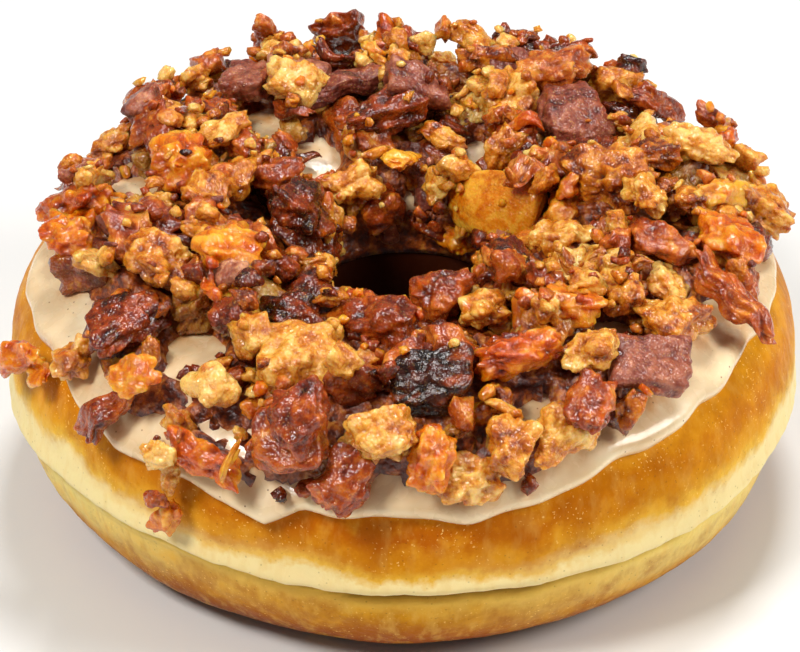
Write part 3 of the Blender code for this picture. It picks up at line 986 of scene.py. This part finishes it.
def ring_place(point):
    """The ring angle and arc whose normal passes nearest a point over the ring."""
    angle = math.atan2(point[1], point[0]) % math.tau
    arcs = np.linspace(0, 56, 560)
    skin, normals = on_skin(np.full(560, angle), arcs, np.zeros(560))
    away = point - skin
    off = np.linalg.norm(away - normals * (away * normals).sum(1, keepdims=True), axis=1)
    ahead = (away * normals).sum(1)
    best = np.argmin(off + np.where(ahead < 0, 50, 0))
    return angle, arcs[best], ahead[best]


def large_bits(heap):
    """The CAD model's large pieces, each in its own place with its real surface."""
    made = []
    for number, (name, (kind, tone, *shape)) in enumerate(NODE_LOOKS.items()):
        gen = np.random.default_rng(1000 + number)
        middle, axes, half = node_axes(node_points(name))
        spread = (1.3, 1.2, 1.0) if name == "fat_slab_hole" else 1.12
        bit = Bit(kind, half * spread, gen, 22, tone, **(shape[0] if shape else {}))
        bit.put(middle, axes)
        bit.name, bit.middle, bit.half = name, ring_place(middle), half
        i, j = heap.cells(*bit.middle[:2], 0.9 * bit.size)
        heap.ceiling[i, j] = np.minimum(heap.ceiling[i, j], bit.middle[2] - 0.3 * half[2])
        made.append(bit)
    return made


# Further pieces: kind, ring angle, arc, length, width, thickness, yaw and tone, then where it
# isn't 0 their bend, pitch and roll
FURTHER = [
    ("amber", -131, 15.5, 8, 6, 3, 20, 0.35, 0, 0, 10), ("fat", -151, 26, 9, 7, 5, 30, 0.5),
    ("amber", 92, 41.5, 9, 6, 2.2, 80, 0.1, 0, -50), ("lean", 176, 43, 10, 7, 5, 40, 0.3),
    ("lean", -163, 41, 9, 6, 5, -30, 0.2), ("mauve", 105, 30.5, 12, 4, 3, 10, 0.3, 0.5),
    ("fat", 75, 38, 9, 4.5, 3, -20, 0.45, 1.2), ("fat", -17, 38, 12, 9, 5.5, 60, 0.35),
    ("fat", 15, 22.5, 12, 8, 5, 80, 0.3), ("amber", -13, 21, 10, 7, 4, 20, 0.45),
    ("fat", -38, 21, 8, 7, 5, 0, 0.5), ("lean", -78, 40, 8, 6, 5, 30, 0.55),
    ("fat", -81, 12, 7.5, 5.5, 4, 0, 0.35), ("fat", -76, 10, 6.5, 5, 4, 60, 0.5),
    ("lean", -104, 13.5, 8, 6, 4, 70, 0.5), ("amber", -153, 10.5, 10, 4, 3, 20, 0.3, 0.4, -20),
    ("fat", 83, 18, 7, 5, 4, 30, 0.1), ("fat", 150, 17.5, 9, 8, 4.5, 30, 0.42),
    ("fat", 8, 16, 9, 8, 4.5, 70, 0.45), ("amber", -175, 20, 9, 6, 4, 10, 0.4),
    ("lean", 42, 18, 11, 5, 3.5, 80, 0.55, 0.3, -10), ("mauve", 125, 24, 8, 6, 4, 40, 0.5),
    ("lean", -118, 31, 8, 7, 5, 40, 0.25), ("lean", -95, 31, 9, 7, 5, -20, 0.5),
    ("fat", -70, 32, 9, 7, 5, 10, 0.42), ("fat", -122, 9.2, 4, 3, 2.6, 80, 0.25),
    ("fat", -122.6, 6.8, 4.4, 3.2, 2.4, 20, 0.1), ("amber", -122.5, 4.4, 4.2, 3, 2, 60, 0.35),
    ("lean", -123.5, 2.4, 3, 2.4, 1.8, 0, 0.7),
    ("amber", -112.5, 10, 7, 1.3, 1.2, 80, 0.3, 1.2),
    ("amber", -156, 9.6, 9.5, 4.2, 3, 35, 0.45, 0.3),
    ("amber", -166, 20, 7, 5.5, 3.6, 70, 0.4), ("lean", -98, 12.2, 8, 5.5, 4, 60, 0.6),
    ("fat", -92.5, 11.4, 7.5, 6, 4.2, 20, 0.3), ("amber", -86.5, 11.4, 6.5, 4.6, 3.4, 70, 0.35),
    ("lean", -64, 12, 7, 5, 3.6, 50, 0.65), ("fat", -60, 19.5, 9, 7, 4.6, 10, 0.35),
    ("fat", -146, 14.5, 7, 6, 4.4, 50, 0.45), ("fat", -28, 24, 10, 6, 4.4, 30, 0.3),
    ("lean", -20, 28, 9, 5.5, 4, 70, 0.7), ("fat", -8, 30, 10, 7, 4.5, 10, 0.4),
]


def further_bits(heap, bins):
    """Lays the further pieces, each shifted along the skin until it is within the limits."""
    for number, (kind, at, arc, length, width, thick, yaw, tone, *rest) in enumerate(FURTHER):
        bend, pitch, roll = (*rest, 0, 0, 0)[:3]
        gen = np.random.default_rng(2000 + number)
        half = np.array((length, width, thick)) / 2
        ruffle = 0.09 * thick if bend else 0.0
        bit = Bit(kind, half * 1.08, gen, 18, tone, bend=bend, ruffle=ruffle)
        angle = math.radians(at) % math.tau
        points, out = bit.points, bit.out
        for _ in range(12):
            bit.points, bit.out = points, out
            heap.rest(bit, angle, arc, turned(yaw, pitch, roll), 12)
            if inside_limits(bit, spread=51.5):
                break
            arc += 0.4 if arc < 28 else -0.4
        heap.cover_with(bit, keep=True)
        heap.shown.append(bit)
        bins.append(bit)


MARGIN_ANGLES = (-180, -160, -140, -120, -95, -75, -55, -35, -15, 10, 45, 90, 140, 180)
MARGINS = (4.5, 5.5, 3.5, 2, 1.8, 1.5, 3.5, 5.5, 4, 1.5, 1, 0.5, 1.5, 4.5)
LEAN_ANGLES = (-180, -140, -110, -80, -50, 0, 50, 90, 130, 180)
LEAN_SHARES = (0.34, 0.44, 0.46, 0.34, 0.22, 0.16, 0.34, 0.42, 0.34, 0.34)


def heap_edge(angle):
    """Where loose bacon starts on the outside."""
    return icing_edge(angle) + np.interp(whole_degrees(angle), MARGIN_ANGLES, MARGINS)


def draw_kind(gen, angle):
    """A kind and a tone; there is more lean at the left and back than at the right."""
    share = float(np.interp(whole_degrees(angle), LEAN_ANGLES, LEAN_SHARES))
    draw = gen.uniform()
    if draw < share * 0.9:
        return "lean", gen.uniform(0.2, 0.85)
    if draw < share:
        return "mauve", gen.uniform(0.3, 0.75)
    if draw < share + (1 - share) * 0.26:
        return "amber", gen.uniform(0.1, 0.75)
    return "fat", float(np.clip(gen.normal(0.42, 0.2), 0.05, 0.9))


def draw_place(heap, gen, tries):
    """The ring angle and arc of the lowest of a few places, and the last one's heap edge."""
    places = []
    for _ in range(tries):
        angle = gen.uniform(0, math.tau)
        start = float(heap_edge(angle))
        arc = start + (BITS_END - start) * gen.beta(1.0, 1.15)
        level = float(heap.height_at(np.array(angle), np.array(arc))) - 0.6 * math.sin(angle)
        places.append((level, angle, arc))
    return *min(places, key=lambda place: place[0])[1:], start


def scatter(heap, bins, count, sizes, n, gen, flat=(0.5, 0.8), lowest=True, nest=30):
    """Drops loose bits on the heap, most of them into its low places.

    sizes are the least and greatest length, and flat the thickness over the length.
    """
    made = tries = 0
    while made < count and tries < count * 6:
        tries += 1
        angle, arc, start = draw_place(heap, gen, 3 if lowest else 1)
        if gen.uniform() > (float(along(RADIUS, arc)) / 48) ** 0.6:
            continue
        length = gen.uniform(*sizes)
        thick = length * gen.uniform(*flat)
        width = gen.uniform(thick, length)
        kind, tone = draw_kind(gen, angle)
        bend = ruffle = 0.0
        if gen.uniform() < 0.14:
            length, width, thick = length * 1.3, width * 0.6, thick * 0.6
            bend, ruffle = gen.uniform(-1.5, 1.5), 0.08 * length
        half = np.array((length, width, thick)) / 2
        overhang = 0.35 * length if length > 4 else 0.2 * length
        if arc < start + overhang or not heap.free(angle, arc, half):
            continue
        bit = Bit(kind, half, gen, n, tone, bend=bend, ruffle=ruffle)
        tilt = gen.normal(0, 20, 2)
        heap.rest(bit, angle, arc, turned(gen.uniform(0, 360), *tilt), nest)
        ceiling = heap.ceiling[heap.cells(angle, arc, 0.7 * bit.size)]
        if (bit.middle[2] + 0.7 * half[2] > ceiling).any() or not inside_limits(bit):
            continue
        if length > 2.4 and hides(bit, heap.shown):
            continue
        heap.cover_with(bit)
        bins.append(bit)
        made += 1


def bury(heap, bits):
    """How far each bit lies under the heap's top, 0 to 1, to paint buried bits darker as shade."""
    for bit in bits:
        angle, arc, lift = bit.middle
        top = float(np.mean(heap.lift[heap.cells(angle, arc, max(bit.half[0], 0.8))]))
        bit.buried_shade = float(np.clip((top - lift - bit.half[2] * 0.8) / 3.5, 0, 1))


def bare_distance(angle, arc):
    """The distance to the nearest bare patch, in shares of the patch's reach."""
    nearest = np.inf
    for at, patch_arc, reach in BARE_PATCHES:
        turn = (np.degrees(angle) - at + 180) % 360 - 180
        aside = turn * math.pi / 180 * along(RADIUS, arc)
        nearest = np.minimum(nearest, np.hypot(aside, arc - patch_arc) / reach)
    return nearest


def make_core(heap):
    """A lumpy bed that fills the gaps low down, and dips under the icing where that shows."""
    angle, share, is_top, quads = sheet_grid(320, np.linspace(0, 1, 48), 6)
    outer = heap_edge(angle) + 0.8
    arc = outer + share * (BED_END - outer)
    points, _ = on_skin(angle, arc, 0 * arc)
    patches = noise(points, 8.0, 41, 2)
    lumps = 0.55 * (0.5 - cell_distance(points, 1.9, 43)) + 0.5 * noise(points, 1.2, 47, 2)
    rise = ICING_TOP + 1.1 + 1.8 * patches + lumps * 1.2
    rise = rise - 4 * ease(1.5, 0.7, bare_distance(angle, arc))
    rise = np.minimum(rise, np.maximum(heap.height_at(angle, arc) - 1.2, 0.4))
    ends = np.sqrt(np.clip(share * (1 - share) * 4 * 2.5, 0, 1))
    points, _ = on_skin(angle, arc, np.where(is_top, np.maximum(rise * ends, 0.4), 0.2))
    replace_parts(build("bacon_bed", points, quads, core_look(), "chopped_bacon"), "bacon_heap")


# Loose bits, in the order they fall: count, lengths, faces along a side, thickness over length
UNDER_LAYERS = ((70, (5.0, 8.5), 8, (0.42, 0.7)), (90, (3.0, 5.0), 6, (0.5, 0.8)))
OVER_LAYERS = (
    (120, (7.0, 11.5), 13, (0.42, 0.62)), (170, (4.4, 7.0), 9, (0.45, 0.72)),
    (150, (2.4, 4.4), 5, (0.5, 0.8)),
)
MOST_TRIANGLES = 180000  # in one object of bits


def make_heap():
    heap = Heap()
    bins = []
    large = large_bits(heap)
    heap.shown = list(large)
    for degrees, arc, reach in BARE_PATCHES:
        seat, _ = on_skin(math.radians(degrees), arc, ICING_TOP)
        heap.shown.append(Spot(seat, reach * 0.9))
    gen = np.random.default_rng(31)
    for count, lengths, n, flat in UNDER_LAYERS:
        scatter(heap, bins, count, lengths, n, gen, flat, nest=45)
    heap.ceiling[:] = 99
    for bit in large:
        heap.cover_with(bit, keep=True)
        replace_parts(join_bits("piece_" + bit.name, [bit], bit.kind), bit.name)
    further_bits(heap, bins)
    for count, lengths, n, flat in OVER_LAYERS:
        scatter(heap, bins, count, lengths, n, gen, flat, nest=45)
    scatter(heap, bins, 380, (1.0, 2.4), 2, gen, lowest=False, nest=55)
    bury(heap, bins)
    kinds = {}
    for bit in bins:
        size = "crumbs" if bit.n <= 2 else "bits"
        kinds.setdefault((bit.kind, size), []).append(bit)
    for (kind, size), bits in sorted(kinds.items()):
        batches = max(1, math.ceil(sum(12 * b.n**2 for b in bits) / MOST_TRIANGLES))
        for number in range(batches):
            join_bits(f"{kind}_{size}_{number + 1}", bits[number::batches], kind)
    make_core(heap)
    return heap


def stain_from(heap):
    """How greasy the icing is, from how near it is to bacon."""
    near = heap.cover
    for _ in range(8):
        beside = [np.roll(near, step, axis) for axis in (0, 1) for step in (1, -1)]
        near = (beside[0] + beside[1] + beside[2] + beside[3] + near) / 5
    return lambda angle, arc: near[heap.index(angle, arc)] * 0.8


# ---- floor, lights and camera


def make_floor():
    mesh = bpy.data.meshes.new("floor")
    mesh.from_pydata([(-3, -3, 0), (3, -3, 0), (3, 3, 0), (-3, 3, 0)], [], [(0, 1, 2, 3)])
    look = Look("pale_floor", Roughness=0.6)
    shade = look.noise(look.add("TexCoord", {}, "Object"), 0.4)
    greys = [(0.3, (222, 222, 221)), (0.7, (228, 228, 227))]
    mesh.materials.append(look.finish(look.ramp(shade, greys)))
    floor = link("floor", mesh)
    floor.location.z = -0.0001


def make_light(name, azimuth, elevation, distance, size, watts, colour=(1, 1, 1)):
    """A square soft light aimed at the doughnut; azimuth 0 is the camera's side, 90 its right."""
    light = bpy.data.lights.new(name, "AREA")
    light.size, light.energy, light.color = size, watts, colour
    obj = link(name, light)
    a, e = math.radians(azimuth), math.radians(elevation)
    away = np.array([math.sin(a) * math.cos(e), -math.cos(a) * math.cos(e), math.sin(e)])
    target = np.array([0, 0, 0.02])
    obj.location = target + away * distance
    aim(obj, target)


def aim(obj, target):
    obj.rotation_euler = (Vector(target) - obj.location).to_track_quat("-Z", "Y").to_euler()


def make_camera():
    camera = bpy.data.cameras.new("camera")
    camera.sensor_width, camera.lens = 36, 145.4
    camera.clip_start = 0.01
    obj = link("camera", camera)
    target = np.array([-0.0005, 0, 0.0194])
    rise, distance = math.radians(32.3), 0.4
    obj.location = target + distance * np.array([0, -math.cos(rise), math.sin(rise)])
    aim(obj, target)
    bpy.context.scene.camera = obj


def make_world():
    world = bpy.data.worlds.new("studio")
    world.use_nodes = True
    background = world.node_tree.nodes["Background"]
    background.inputs["Color"].default_value = (1, 1, 1, 1)
    background.inputs["Strength"].default_value = 0.16
    bpy.context.scene.world = world
    bpy.context.scene.view_settings.view_transform = "Standard"


make_world()
make_floor()
make_light("key", -50, 52, 0.7, 0.17, 3.65, (1, 0.97, 0.93))
make_light("rim", 165, 68, 0.7, 0.18, 3.0)
make_light("fill", 75, 36, 0.75, 0.28, 3.6, (1, 0.96, 0.9))
make_camera()
make_dough()
heap = make_heap()
make_icing(stain_from(heap))
